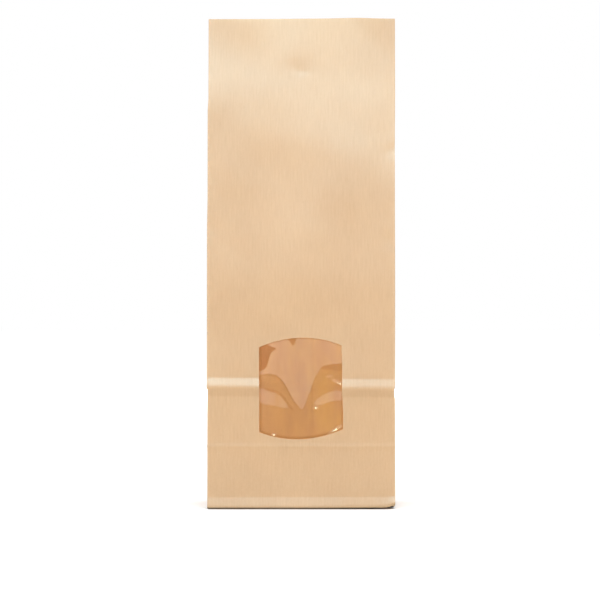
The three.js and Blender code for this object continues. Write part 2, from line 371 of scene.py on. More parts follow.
@dataclass(frozen=True)
class WindowOutline:
    """The window's cut edge in the front panel, in millimetres: straight sides, arched top and bottom."""

    centre: float = -0.3
    half_width: float = 22.0
    low: float = 41.5
    high: float = 86.5
    rise: float = 4.5
    tilt_low: float = 0.8
    tilt_high: float = 0.5
    bottom_lift: float = 0.2
    fade_low: float = 35.4
    fade_high: float = 101.0
    bulge: float = 0.45
    bulge_heights: tuple[float, float] = (48.0, 70.0)
    pinch: float = 0.3
    pinch_heights: tuple[float, float] = (76.0, 87.0)
    bulge_reach: float = 12.0
    # The painted shadow along the cut edge reaches past the right edge by the slip, and is paler on the
    # right and top edges.
    edge_shadow_slip: float = 0.3
    thin_edge_shadow: float = 0.85

    @property
    def left(self) -> float:
        """The left side's place."""
        return self.centre - self.half_width

    @property
    def right(self) -> float:
        """The right side's place."""
        return self.centre + self.half_width

    def arch(self, x: Array) -> Array:
        """How far an arch stands out.

        Args:
            x: Places across the front.

        Returns:
            The height of a circle's arc over the window's width, and 0 beside it.
        """
        radius = (self.half_width**2 + self.rise**2) / (2.0 * self.rise)
        inside = np.minimum(np.abs(x - self.centre), self.half_width)
        return np.sqrt(radius**2 - inside**2) - (radius - self.rise)

    def outline_heights(self, x: Array) -> tuple[Array, Array]:
        """How high the cut edge runs.

        Args:
            x: Places across the front.

        Returns:
            The heights of the edge's bottom and of its top: both arched, and both tilted a little.
        """
        side = np.clip((x - self.centre) / self.half_width, -1.0, 1.0)
        bottom = self.low + self.tilt_low * side + self.bottom_lift - self.arch(x)
        top = self.high + self.tilt_high * side + self.arch(x)
        return bottom, top

    def painted_edge_shadow(self, x: Array, z: Array, reach: float) -> Array:
        """The painted shadow that the paper's cut edge casts on the film.

        Args:
            x: Places across the front.
            z: Heights.
            reach: How far the line fades out, in millimetres.

        Returns:
            1 on the left and the bottom edge, from where the line fades inwards over twice the reach,
            and a little less on the right and the top one.
        """
        bottom, top = self.outline_heights(x)
        wide = np.minimum(x - self.left, z - bottom)
        thin = np.minimum(self.right + self.edge_shadow_slip - x, top - z)
        wide_line = hump(np.minimum(wide, 0.0), reach) * hump(np.maximum(wide, 0.0), 2.0 * reach)
        return np.maximum(wide_line, self.thin_edge_shadow * hump(thin, reach))

    def warp(self, x: Array, z: Array) -> tuple[Array, Array]:
        """Moves straight grid lines onto the window's outline, fading out away from it.

        Args:
            x: The grid's columns.
            z: The grid's rows.

        Returns:
            The warped x and z. The cut's corners are a little out of square, as the photo shows.
        """
        bottom, top = self.outline_heights(x)
        middle = (self.low + self.high) / 2.0
        at_top = np.interp(z, [middle, self.high, self.fade_high], [0.0, 1.0, 0.0]) * (top - self.high)
        at_bottom = np.interp(z, [self.fade_low, self.low, middle], [0.0, 1.0, 0.0]) * (bottom - self.low)
        bulge_low, bulge_high = self.bulge_heights
        outwards = self.bulge * smooth_step(-z, -bulge_high, -bulge_low)
        inwards = self.pinch * smooth_step(z, *self.pinch_heights)
        return x + (outwards - inwards) * tent(x - self.right, self.bulge_reach), z + at_top + at_bottom


@dataclass
class Sheet:
    """One sheet of paper or film: its points, its faces and what they carry.

    A face has four point numbers, of which the last is -1 for a triangle. Its corners carry places on
    the flat sheet, and its points how worn or painted lighter, or on the film how much painted edge
    shadow they have, how many layers thick or how darkly tinted, how far inside, and how much painted
    shade or warm glint tint they carry. What these mean for the paper and the film is told under Channel.
    """

    points: Array
    faces: Array
    corner_sheet: Array
    fold: Array
    layers: Array
    inside: Array
    soil: Array

    @staticmethod
    def grid_faces(rows: int, columns: int, wraps: bool) -> Array:
        """Quads over a grid, row by row, counterclockwise where columns run right and rows run up.

        Args:
            rows: How many rows of points there are.
            columns: How many columns of points there are.
            wraps: Whether the last column joins the first.

        Returns:
            Point numbers, an array of rows - 1 by columns, or one column fewer, by 4.
        """
        index = np.arange(rows * columns).reshape(rows, columns)
        after = np.roll(index, -1, axis=1)
        quads = np.stack([index[:-1], after[:-1], after[1:], index[1:]], axis=-1)
        return quads if wraps else quads[:, :-1]

    def normals(self) -> Array:
        """The points' unit normals.

        Returns:
            For each point the sum of the crossed diagonals of the faces round it, at length 1.
        """
        last = np.where(self.faces[:, 3] < 0, self.faces[:, 0], self.faces[:, 3])
        corners = np.column_stack([self.faces[:, :3], last])
        a, b, c, d = (self.points[corners[:, k]] for k in range(4))
        crossed = np.cross(c - a, d - b)
        total = np.zeros_like(self.points)
        for k in range(4):
            np.add.at(total, corners[:, k], crossed)
        return total / np.maximum(np.linalg.norm(total, axis=1, keepdims=True), 1e-12)

    def reordered(self, values: Array, three: Sequence[int], four: Sequence[int]) -> Array:
        """The faces' corners, or what they carry, in another order.

        Args:
            values: One row for each face, with one entry for each of its four corners.
            three: The new order in a triangle.
            four: The new order in a quad.

        Returns:
            The values in that order.
        """
        triangle = (self.faces[:, 3] < 0).reshape(-1, *[1] * (values.ndim - 1))
        return np.where(triangle, values[:, list(three)], values[:, list(four)])

    def thickened(self, thickness: float, second_side_share: float = 0.0) -> "Sheet":
        """The sheet as a closed solid, its second side set back along the normals.

        Args:
            thickness: How far the second side lies behind the first, in millimetres.
            second_side_share: How much of the first side's painted shade and glint tint it shows too.

        Returns:
            Both sides, joined by a strip of quads along every border edge.
        """
        count = len(self.points)
        behind = self.points - thickness * self.normals()
        turned = self.reordered(self.faces, (2, 1, 0, 3), (3, 2, 1, 0))
        turned_sheet = self.reordered(self.corner_sheet, (2, 1, 0, 3), (3, 2, 1, 0))
        second = np.where(turned < 0, -1, turned + count)
        ends = self.reordered(self.faces, (1, 2, 0, 3), (1, 2, 3, 0))
        end_sheet = self.reordered(self.corner_sheet, (1, 2, 0, 3), (1, 2, 3, 0))
        real = (self.faces >= 0) & (ends >= 0)
        start, end = self.faces[real], ends[real]
        border = ~np.isin(start * count + end, end * count + start)
        start, end = start[border], end[border]
        at_start, at_end = self.corner_sheet[real][border], end_sheet[real][border]
        strip = np.stack([end, start, start + count, end + count], axis=-1)
        strip_sheet = np.stack([at_end, at_start, at_start, at_end], axis=1)
        return Sheet(
            points=np.concatenate([self.points, behind]),
            faces=np.concatenate([self.faces, second, strip]),
            corner_sheet=np.concatenate([self.corner_sheet, turned_sheet, strip_sheet]),
            fold=np.tile(self.fold, 2),
            layers=np.tile(self.layers, 2),
            inside=np.repeat([0.0, 1.0], count),
            soil=np.concatenate([self.soil, second_side_share * self.soil]),
        )

    def build(self, name: str) -> bpy.types.Object:
        """Makes a smooth mesh object at the origin.

        Args:
            name: The piece's name.

        Returns:
            The object, linked to the scene. Edges between a side and its border strip are sharp.
        """
        real = self.faces >= 0
        used, numbers = np.unique(self.faces[real], return_inverse=True)
        sizes = real.sum(axis=1)
        mesh = bpy.data.meshes.new(name)
        mesh.vertices.add(len(used))
        mesh.vertices.foreach_set("co", (self.points[used] * MM).astype(np.float32).ravel())
        mesh.loops.add(len(numbers))
        mesh.loops.foreach_set("vertex_index", numbers.astype(np.int32))
        mesh.polygons.add(len(sizes))
        mesh.polygons.foreach_set("loop_start", (np.cumsum(sizes) - sizes).astype(np.int32))
        mesh.update(calc_edges=True)
        layer = mesh.uv_layers.new(name=Channel.SHEET.value)
        layer.uv.foreach_set("vector", (self.corner_sheet[real] * MM).astype(np.float32).ravel())
        channels = {
            Channel.FOLD: self.fold,
            Channel.LAYERS: self.layers,
            Channel.INSIDE: self.inside,
            Channel.SHADE_AND_GLINT: self.soil,
        }
        for channel, values in channels.items():
            attribute = mesh.attributes.new(channel.value, "FLOAT", "POINT")
            attribute.data.foreach_set("value", values[used].astype(np.float32))
        mesh.shade_smooth()
        inside = np.where(real, self.inside[self.faces], self.inside[self.faces[:, :1]])
        mixed = np.ptp(inside, axis=1) > 0.5
        loop_edges = np.zeros(len(mesh.loops), np.int32)
        mesh.loops.foreach_get("edge_index", loop_edges)
        ends = np.zeros(2 * len(mesh.edges), np.int32)
        mesh.edges.foreach_get("vertices", ends)
        one_side = np.ptp(self.inside[used][ends.reshape(-1, 2)], axis=1) < 0.5
        on_strip = np.zeros(len(mesh.edges), bool)
        on_strip[loop_edges[np.repeat(mixed, sizes)]] = True
        sharp = mesh.attributes.new("sharp_edge", "BOOLEAN", "EDGE")
        sharp.data.foreach_set("value", on_strip & one_side)
        mesh.update()
        piece = bpy.data.objects.new(name, mesh)
        bpy.context.scene.collection.objects.link(piece)
        return piece


def joined(sheets: Sequence[Sheet]) -> Sheet:
    """Several sheets as one.

    Args:
        sheets: The sheets.

    Returns:
        One sheet with all their points and faces, the faces' point numbers shifted.
    """
    starts = np.cumsum([0] + [len(sheet.points) for sheet in sheets])
    shifted = [
        np.where(sheet.faces < 0, -1, sheet.faces + start)
        for sheet, start in zip(sheets, starts, strict=False)
    ]
    return Sheet(
        points=np.concatenate([sheet.points for sheet in sheets]),
        faces=np.concatenate(shifted),
        corner_sheet=np.concatenate([sheet.corner_sheet for sheet in sheets]),
        fold=np.concatenate([sheet.fold for sheet in sheets]),
        layers=np.concatenate([sheet.layers for sheet in sheets]),
        inside=np.concatenate([sheet.inside for sheet in sheets]),
        soil=np.concatenate([sheet.soil for sheet in sheets]),
    )


class Graph:
    """A node tree that is filled by short calls."""

    def __init__(self, tree: bpy.types.NodeTree) -> None:
        """Empties the tree."""
        self.tree = tree
        tree.nodes.clear()

    def add(self, kind: str, inputs: dict[Any, Any] | None = None, **settings: Any) -> bpy.types.Node:
        """Adds a node.

        Args:
            kind: The node's type, without its ShaderNode prefix.
            inputs: Values or other nodes' outputs for its inputs, by name or number.
            settings: Values for the node's own properties.

        Returns:
            The node.
        """
        node = self.tree.nodes.new("ShaderNode" + kind)
        for key, value in settings.items():
            setattr(node, key, value)
        for key, value in (inputs or {}).items():
            if isinstance(value, bpy.types.NodeSocket):
                self.tree.links.new(value, node.inputs[key])
            else:
                node.inputs[key].default_value = value
        return node

    def math(self, operation: str, *values: Any) -> bpy.types.NodeSocket:
        """The output of a Math node on values or sockets."""
        return self.add("Math", dict(enumerate(values)), operation=operation).outputs[0]

    def channel(self, channel: Channel) -> bpy.types.NodeSocket:
        """What the mesh carries in a channel of single values."""
        return self.add("Attribute", attribute_name=channel.value).outputs["Fac"]

    def ranged(
        self, value: Any, low: Any, high: Any, span: tuple[float, float] = (0.0, 1.0)
    ) -> bpy.types.NodeSocket:
        """A value mapped in a straight line.

        Args:
            value: The value or socket.
            low: The result at the span's start and below.
            high: The result at the span's end and above.
            span: The part of the value that is mapped.

        Returns:
            The result, from low to high.
        """
        return self.add("MapRange", {0: value, 1: span[0], 2: span[1], 3: low, 4: high}).outputs[0]

    def shared(self, share: Any, first: bpy.types.Node, second: bpy.types.Node) -> bpy.types.Node:
        """Two shaders mixed: the first at a share of 0, the second at a share of 1."""
        return self.add("MixShader", {0: share, 1: first.outputs[0], 2: second.outputs[0]})

    def blend(self, factor: Any, low: Any, high: Any) -> bpy.types.NodeSocket:
        """A colour mixed from two by a factor."""
        return self.add("Mix", {0: factor, 6: low, 7: high}, data_type="RGBA").outputs[2]

    def noise(
        self, vector: bpy.types.NodeSocket, scale: tuple[float, float], detail: float
    ) -> bpy.types.NodeSocket:
        """Noise on the sheet.

        Args:
            vector: The sheet's coordinates.
            scale: How many blobs it has for each metre across and up the sheet.
            detail: How many finer octaves it has.

        Returns:
            The noise, about 0.5 on average.
        """
        mapping = self.add("Mapping", {"Vector": vector, "Scale": (*scale, 1.0)})
        settings = {"Vector": mapping.outputs[0], "Scale": 1.0, "Detail": detail, "Roughness": 0.55}
        return self.add("TexNoise", settings).outputs[0]


@dataclass(frozen=True)
class KraftPaper:
    """Ribbed brown kraft: fine vertical ribs and fibres, cloudy pulp, pale worn folds, a satin face.

    Its inner side is paler and duller. The shares say how much of the light shines through: at the outer
    face from outside and from within the paper, and at the inner face. The tone runs from dark to light:
    each pattern times its weight, all summed and shifted. The relief is a weighted sum too. Blobs are
    counted for each metre across and up the sheet. The pale colour of worn folds also paints light on
    the lower walls and on the fold's upper flank, and a near-black colour paints shade on the fold's
    lower flank and in the hollow under the foot, where less light shines through as well.
    """

    dark: Colour = (0.469, 0.320, 0.174, 1.0)
    light: Colour = (0.579, 0.416, 0.240, 1.0)
    inner_dark: Colour = (0.520, 0.414, 0.270, 1.0)
    inner_light: Colour = (0.644, 0.538, 0.371, 1.0)
    # Pale colour of worn folds, also used to paint light on the lower walls and on the fold's upper flank.
    pale_wear_and_light: Colour = (0.78, 0.66, 0.50, 1.0)
    fleck: Colour = (0.40, 0.24, 0.12, 1.0)
    # Near-black colour that paints shade: a band on the fold's lower flank and the hollow under the foot.
    shade_colour: Colour = (0.07, 0.05, 0.035, 1.0)
    dark_through: Colour = (0.95, 0.68, 0.40, 1.0)
    light_through: Colour = (1.0, 0.78, 0.49, 1.0)
    roughness: float = 0.30
    inner_roughness: float = 0.62
    grain_roughness: float = 0.10
    ior: float = 1.58
    outer_share: float = 0.20
    within_share: float = 0.42
    inner_share: float = 0.72
    rib_pitch: float = 0.002
    rib_waviness: float = 1.5
    fibre_blobs: tuple[float, float] = (1500.0, 110.0)
    grain_blobs: tuple[float, float] = (900.0, 620.0)
    cloud_blobs: tuple[float, float] = (34.0, 21.0)
    fleck_blobs: tuple[float, float] = (1500.0, 260.0)
    rib_tone: float = 0.05
    fibre_tone: float = 0.95
    grain_tone: float = 0.32
    cloud_tone: float = 0.95
    tone_shift: float = -0.585
    rib_relief: float = 0.20
    fibre_relief: float = 0.75
    grain_relief: float = 0.35
    relief_strength: float = 0.35
    relief_height: float = 0.00006
    fleck_span: tuple[float, float] = (0.70, 0.80)
    fleck_cover: float = 0.35
    pale_cover: float = 0.45
    wear_grain: float = 0.9
    least_wear: float = 0.05
    # How far painted shade darkens the colour, and how much it cuts the light that shines through.
    shade_cover: float = 0.9
    shade_shine_loss: float = -0.8

    def material(self) -> bpy.types.Material:
        """Builds the paper's material on the sheet's own coordinates.

        Returns:
            A Principled face mixed with light that shines through, less of it where layers lie double.
        """
        made = bpy.data.materials.new("kraft_paper")
        made.use_nodes = True
        graph = Graph(made.node_tree)
        sheet = graph.add("UVMap", uv_map=Channel.SHEET.value).outputs[0]
        ribs = graph.add(
            "TexWave",
            {
                "Vector": sheet,
                "Scale": math.pi / 10.0 / self.rib_pitch,
                "Distortion": self.rib_waviness,
                "Detail": 2.0,
                "Detail Scale": 0.35,
            },
            wave_type="BANDS",
            bands_direction="X",
        ).outputs["Fac"]
        fibres = graph.noise(sheet, self.fibre_blobs, 3.0)
        grain = graph.noise(sheet, self.grain_blobs, 4.0)
        clouds = graph.noise(sheet, self.cloud_blobs, 4.0)
        flecks = graph.noise(sheet, self.fleck_blobs, 1.0)
        tone = graph.math("MULTIPLY_ADD", ribs, self.rib_tone, self.tone_shift)
        tone = graph.math("MULTIPLY_ADD", fibres, self.fibre_tone, tone)
        tone = graph.math("MULTIPLY_ADD", grain, self.grain_tone, tone)
        tone = graph.math("MULTIPLY_ADD", clouds, self.cloud_tone, tone)
        inside = graph.channel(Channel.INSIDE)
        low = graph.blend(inside, self.dark, self.inner_dark)
        high = graph.blend(inside, self.light, self.inner_light)
        colour = graph.blend(tone, low, high)
        dark_spots = graph.ranged(flecks, 0.0, self.fleck_cover, self.fleck_span)
        colour = graph.blend(dark_spots, colour, self.fleck)
        # Pale marks: fold wear, painted lightening of the lower walls and part of the fold's painted
        # highlight.
        pale_marks = graph.math("MULTIPLY_ADD", grain, self.wear_grain, self.least_wear)
        pale_marks = graph.math("MULTIPLY", graph.channel(Channel.FOLD), pale_marks)
        colour = graph.blend(graph.math("MULTIPLY", pale_marks, self.pale_cover), colour, self.pale_wear_and_light)
        # Painted shade: the near-black colour mixed in on the fold's lower flank and under the foot.
        soil = graph.channel(Channel.SHADE_AND_GLINT)
        colour = graph.blend(graph.math("MULTIPLY", soil, self.shade_cover), colour, self.shade_colour)
        relief = graph.math("MULTIPLY", fibres, self.fibre_relief)
        relief = graph.math("MULTIPLY_ADD", ribs, self.rib_relief, relief)
        relief = graph.math("MULTIPLY_ADD", grain, self.grain_relief, relief)
        raised = {"Strength": self.relief_strength, "Distance": self.relief_height, "Height": relief}
        bump = graph.add("Bump", raised).outputs[0]
        rough = graph.ranged(inside, self.roughness, self.inner_roughness)
        rough = graph.math("SUBTRACT", rough, self.grain_roughness / 2.0)
        rough = graph.math("MULTIPLY_ADD", grain, self.grain_roughness, rough)
        face = graph.add(
            "BsdfPrincipled",
            {"Base Color": colour, "Roughness": rough, "IOR": self.ior, "Normal": bump},
        )
        through = graph.blend(tone, self.dark_through, self.light_through)
        shine = graph.add("BsdfTranslucent", {"Color": through, "Normal": bump})
        behind = graph.add("NewGeometry").outputs["Backfacing"]
        share = graph.ranged(behind, self.outer_share, self.within_share)
        share = graph.ranged(inside, share, self.inner_share)
        share = graph.math("DIVIDE", share, graph.channel(Channel.LAYERS))
        # Where shade is painted, less light shines through.
        share = graph.math("MULTIPLY", share, graph.math("MULTIPLY_ADD", soil, self.shade_shine_loss, 1.0))
        mixed = graph.shared(share, face, shine)
        graph.add("OutputMaterial", {"Surface": mixed.outputs[0]})
        return made


@dataclass(frozen=True)
class ClearFilm:
    """Thin glossy clear film: it shows what is behind it and mirrors the studio at its wrinkles.

    What shows through it is tinted: golden to the right, a little darker in clouds, darker still where
    its facets list it, and darkest in a painted shadow along the window's cut edge. Its gloss is tinted
    warm at its small bumps, which paints their glints warm.
    """

    tint: Colour = (1.0, 0.992, 1.0, 1.0)
    golden_tint: Colour = (1.0, 0.985, 0.90, 1.0)
    cloudy_tint: Colour = (0.962, 0.925, 0.945, 1.0)
    # Darker tint where the facets list it.
    dark_tint: Colour = (0.89, 0.80, 0.79, 1.0)
    # Colour of the painted shadow along the window's cut edge.
    edge_shadow_tint: Colour = (0.80, 0.68, 0.58, 1.0)
    mirror: Colour = (1.0, 0.86, 0.62, 1.0)
    # Warm gloss at the small bumps, which paints their glints warm.
    warm_mirror: Colour = (1.0, 0.64, 0.33, 1.0)
    ior: float = 1.7
    roughness: float = 0.08
    streak_roughness: float = 0.12
    streak_blobs: tuple[float, float] = (420.0, 60.0)
    streak_span: tuple[float, float] = (0.3, 0.7)
    streak_strength: float = 0.12
    streak_height: float = 0.0001
    golden_span: tuple[float, float] = (-0.020, 0.020)
    cloud_blobs: tuple[float, float] = (95.0, 26.0)
    cloud_span: tuple[float, float] = (0.36, 0.64)
    edge_shadow_cover: float = 0.6

    def material(self) -> bpy.types.Material:
        """Builds the film's material.

        Returns:
            Clear shader mixed with a glossy one by Fresnel, with faint drawn streaks in the gloss.
        """
        made = bpy.data.materials.new("clear_film")
        made.use_nodes = True
        graph = Graph(made.node_tree)
        sheet = graph.add("UVMap", uv_map=Channel.SHEET.value).outputs[0]
        streaks = graph.noise(sheet, self.streak_blobs, 3.0)
        raised = {"Strength": self.streak_strength, "Distance": self.streak_height, "Height": streaks}
        bump = graph.add("Bump", raised).outputs[0]
        rough = graph.ranged(streaks, self.roughness, self.streak_roughness, self.streak_span)
        # The gloss turns warm at the bumps, which paints their glints warm.
        sheen = graph.blend(graph.channel(Channel.SHADE_AND_GLINT), self.mirror, self.warm_mirror)
        gloss = graph.add(
            "BsdfPrincipled",
            {"Base Color": sheen, "Metallic": 1.0, "Roughness": rough, "Normal": bump},
        )
        across = graph.add("SeparateXYZ", {0: sheet}).outputs["X"]
        rightwards = graph.ranged(across, 0.0, 1.0, self.golden_span)
        clouds = graph.noise(sheet, self.cloud_blobs, 2.0)
        clouds = graph.ranged(clouds, 0.0, 1.0, self.cloud_span)
        # Darker tint where the facets list it.
        dark_share = graph.math("SUBTRACT", graph.channel(Channel.LAYERS), 1.0)
        # Painted shadow along the window's cut edge.
        edge_shadow = graph.math("MULTIPLY", graph.channel(Channel.FOLD), self.edge_shadow_cover)
        tint = graph.blend(rightwards, self.tint, self.golden_tint)
        tint = graph.blend(clouds, tint, self.cloudy_tint)
        tint = graph.blend(dark_share, tint, self.dark_tint)
        tint = graph.blend(edge_shadow, tint, self.edge_shadow_tint)
        clear = graph.add("BsdfTransparent", {"Color": tint})
        behind = graph.add("NewGeometry").outputs["Backfacing"]
        share = graph.add("Fresnel", {"IOR": graph.ranged(behind, self.ior, 1.0 / self.ior)})
        mixed = graph.shared(share.outputs[0], clear, gloss)
        graph.add("OutputMaterial", {"Surface": mixed.outputs[0]})
        return made


@dataclass
class PaperBody:
    """The bag's paper: walls, rolled foot, folded base and its two outer flaps.

    Dents and bent corners lie on the front. An edge gives heights and how far the outline strays outwards
    there. The base runs from its flat parts, shares of the slope's first ring, over the slope's rings,
    each an inset and a level, to the foot's roll, whose rings lie at turns of a quarter circle.
    """

    shape: BagShape
    window: WindowOutline
    finish: KraftPaper
    thickness: float = 0.24
    crease_radius: float = 0.55
    panel_ripples: Ripples = Ripples(seed=7, count=14, shortest=22.0, longest=70.0, height=0.10)
    side_ripples: Ripples = Ripples(seed=11, count=12, shortest=30.0, longest=90.0, height=0.32)
    dents: tuple[Dent, ...] = (
        Dent(across=49.3, up=234.5, half_width=6.5, half_height=5.0, height=-0.16),
        Dent(across=17.0, up=263.0, half_width=17.0, half_height=15.0, height=0.93, turn=-25.0),
        Dent(across=96.0, up=263.0, half_width=15.0, half_height=15.0, height=0.30, turn=20.0),
        Dent(across=10.0, up=223.0, half_width=20.0, half_height=16.0, height=0.34, turn=-20.0),
        Dent(across=99.0, up=191.0, half_width=4.0, half_height=2.6, height=-0.20, turn=25.0),
        Dent(across=96.5, up=142.8, half_width=3.2, half_height=2.2, height=-0.22, turn=-10.0),
        Dent(across=3.5, up=149.0, half_width=3.0, half_height=2.0, height=-0.14),
        Dent(across=50.0, up=122.0, half_width=70.0, half_height=22.0, height=0.50),
        Dent(across=25.0, up=93.0, half_width=35.0, half_height=14.0, height=-0.20),
        Dent(across=50.4, up=232.8, half_width=4.0, half_height=1.4, height=-0.07),
        Dent(across=46.1, up=235.2, half_width=4.0, half_height=1.4, height=-0.06, turn=-38.0),
        Dent(across=83.0, up=9.0, half_width=11.0, half_height=7.0, height=0.20, turn=12.0),
    )
    bent_corners: tuple[BentCorner, ...] = (
        BentCorner(across=0.6, up=251.0, turn=122.0, slope=0.02),
        BentCorner(across=77.0, up=259.0, turn=48.0, slope=0.02),
    )
    left_edge: Line = (
        (0.0, 0.0), (60.0, 0.0), (70.0, 0.3), (150.0, 0.35), (165.0, 0.1), (212.0, 0.1), (218.0, -0.3)
    )
    right_edge: Line = (
        (0.0, 0.0), (59.0, 0.0), (61.5, -0.3), (65.0, -0.45), (67.5, 0.0), (120.0, 0.15), (190.0, 0.1),
        (220.0, 0.35),
    )
    still_edge: float = 14.0
    still_foot: tuple[float, float] = (2.0, 30.0)
    back_ripples: float = 2.0
    side_fold_ridge: float = 0.20
    side_fold_reach: float = 3.5
    side_half_fold_ridge: float = 0.15
    side_half_fold_reach: float = 1.2
    rim_heights: tuple[float, float] = (225.0, 260.0)
    rim_lift: float = 1.4
    rim_wave: float = 0.25
    rim_wave_reach: float = 21.0
    rim_wave_start: float = 0.4
    rim_crest: float = 0.3
    rim_crest_place: float = 29.0
    rim_crest_reach: float = 9.0
    base_layers: float = 3.0
    base_rows: tuple[float, float] = (-4.0, 1.2)
    flat_parts: tuple[float, ...] = (0.06, 0.25, 0.45, 0.65, 0.82, 0.94)
    slope_rings: Line = ((1.4, 0.63), (0.5, 0.3))
    roll_turns: tuple[float, ...] = (0.0, 18.0, 36.0, 54.0, 72.0)
    flap_reach: float = 6.5
    flap_levels: tuple[float, float] = (0.02, 0.33)
    flap_columns: int = 41
    flap_rows: int = 20
    flap_sag: float = 0.08
    flap_sag_reach: tuple[float, float] = (9.0, 7.0)
    flap_end_reach: float = 0.8
    flap_edge_reach: float = 0.6
    flap_wear: float = 0.6
    corner_wear: Wear = Wear(share=0.8, reach=1.0)
    pleat_wear: Wear = Wear(share=0.8, reach=0.9)
    crease_wear: Wear = Wear(share=0.7, reach=0.9)
    # The fold's wear lies a little above its crest, on the lit upper flank, where it also paints part of
    # the fold's highlight.
    fold_wear_and_highlight: Wear = Wear(share=0.28, reach=2.0)
    fold_highlight_rise: float = 1.5
    half_fold_wear: Wear = Wear(share=0.2, reach=0.7)
    foot_wear: Wear = Wear(share=0.3, reach=1.3)
    rim_wear: Wear = Wear(share=0.3, reach=0.8)
    # A painted lightening of the lower walls, fading out at the fold.
    lower_lightening: float = 0.32
    seam_shade: float = 0.05
    # Painted shade: a faint dark band on the fold's lower flank, growing to the right, between these
    # heights.
    fold_shade: float = 0.052
    fold_shade_rightwards: float = 0.3
    fold_shade_start: tuple[float, float] = (59.6, 61.2)
    fold_shade_end: tuple[float, float] = (63.4, 65.2)
    # Painted shade in the hollow under the foot, fading in below these heights.
    under_shade: tuple[float, float] = (0.6, 1.3)

    def columns(self) -> Array:
        """Places round the sheet, closer together at folds and cut edges.

        Returns:
            The places, counterclockwise from the front left corner.
        """
        shape = self.shape
        left, right = self.window.left + shape.half_width, self.window.right + shape.half_width
        seam = shape.half_width - shape.seam_width / 2.0
        cut_edges, seam_edge = [(left, 1.9), (right, 1.9)], [(seam, 2.3), (seam + 0.4, 0.2)]
        near_fold = [(1.5, 0.3), (5.0, 1.2)]
        front = graded(0.0, [(1.5, 0.3), (5.0, 1.0), *cut_edges, (95.0, 1.9), (98.5, 1.0), (100.0, 0.3)])
        side = graded(0.0, [*near_fold, (31.0, 2.3), (34.0, 0.5), (60.0, 2.3), (63.5, 1.2), (65.0, 0.3)])
        back = graded(0.0, [*near_fold, *seam_edge, (95.0, 2.3), (98.5, 1.2), (100.0, 0.3)])
        parts = zip((front, side, back, side), shape.panel_starts[:-1], strict=True)
        return np.concatenate([part[:-1] + start for part, start in parts])

    def heights(self) -> Array:
        """Rows up the walls above the foot's roll.

        Returns:
            Their heights, closer together at folds and cut edges.
        """
        window = self.window
        lower = [(6.8, 0.36), (9.0, 0.7), (32.2, 2.3), (35.2, 0.3), (window.low, 1.0), (59.0, 1.8)]
        middle = [(71.0, 0.5), (window.high, 1.5), (window.fade_high, 1.8), (180.0, 2.9), (224.0, 2.0)]
        upper = [(240.0, 0.8), (258.0, 1.6), (self.shape.height, 0.5)]
        return graded(self.shape.foot_roll, [*lower, *middle, *upper])

    def relief(self, s: Array, v: Array) -> Array:
        """How far the paper stands out of its plain panel at sheet coordinates s and v.

        Args:
            s: Places round the sheet.
            v: Heights.

        Returns:
            Ripples that die out at the vertical folds and the foot, on the sides the two folds across,
            and on the front its dents and bent corners.
        """
        shape = self.shape
        starts = shape.panel_starts
        panel = np.clip(np.searchsorted(starts, s, side="right") - 1, 0, Panel.LEFT.value)
        start, end = starts[panel], starts[panel + 1]
        inside = smooth_step(np.minimum(s - start, end - s), 0.0, self.still_edge)
        inside = inside * smooth_step(v, *self.still_foot)
        is_side = (panel == Panel.RIGHT.value) | (panel == Panel.LEFT.value)
        wavy = np.where(is_side, self.side_ripples.at(s, v), self.panel_ripples.at(s, v))
        wavy = wavy * inside * np.where(panel == Panel.BACK.value, self.back_ripples, 1.0)
        fold = self.side_fold_ridge * tent(v - shape.fold_height, self.side_fold_reach)
        half_fold = self.side_half_fold_ridge * tent(v - shape.half_fold_height, self.side_half_fold_reach)
        local = sum(dent.at(s, v) for dent in self.dents) + sum(bend.at(s, v) for bend in self.bent_corners)
        on_front = np.where(panel == Panel.FRONT.value, local, 0.0)
        return wavy + np.where(is_side, fold + half_fold, 0.0) + on_front

    def plain_wall(self, s: Array, v: Array) -> Array:
        """The wall with sharp folds at sheet coordinates s and v.

        Args:
            s: Places round the sheet, counterclockwise from the front left corner.
            v: Heights.

        Returns:
            Points: the front and back stand at their distances, a side spans them and folds inwards,
            and the left and right edges stray outwards or inwards by their lines over the height.
        """
        shape = self.shape
        s = np.mod(s, shape.girth)
        _, right_start, back_start, left_start, _ = shape.panel_starts
        front = s < right_start
        right = (s >= right_start) & (s < back_start)
        back = (s >= back_start) & (s < left_start)
        side = np.where(right, 1.0, -1.0)
        from_front = 2.0 * (s - right_start) / shape.depth - 1.0
        from_back = 1.0 - 2.0 * (s - left_start) / shape.depth
        across = np.where(right, from_front, from_back)
        side_x = side * shape.half_width
        back_x = back_start + shape.half_width - s
        panel_x = np.where(front, s - shape.half_width, np.where(back, back_x, side_x))
        front_y = -shape.front_distance(panel_x, v) - shape.fold_relief(panel_x, v)
        back_y = shape.back_distance(v) + shape.fold_relief(panel_x, v)
        relief = self.relief(s, v)
        pleat = shape.pleat_depth(side_x, v, across)
        outwards = side * (shape.half_width - pleat + relief)
        x = np.where(front | back, panel_x, outwards)
        spanned = front_y + (back_y - front_y) * (across + 1.0) / 2.0
        seamed_y = back_y + shape.seam_relief(panel_x, v) + relief
        y = np.where(front, front_y - relief, np.where(back, seamed_y, spanned))
        stray_right = np.interp(v, *zip(*self.right_edge, strict=True))
        stray_left = np.interp(v, *zip(*self.left_edge, strict=True))
        rightwards = np.clip(x / shape.half_width, 0.0, 1.0)
        leftwards = np.clip(x / shape.half_width, -1.0, 0.0)
        x = x + stray_right * rightwards + stray_left * leftwards
        return np.stack([x, y, v], axis=-1)

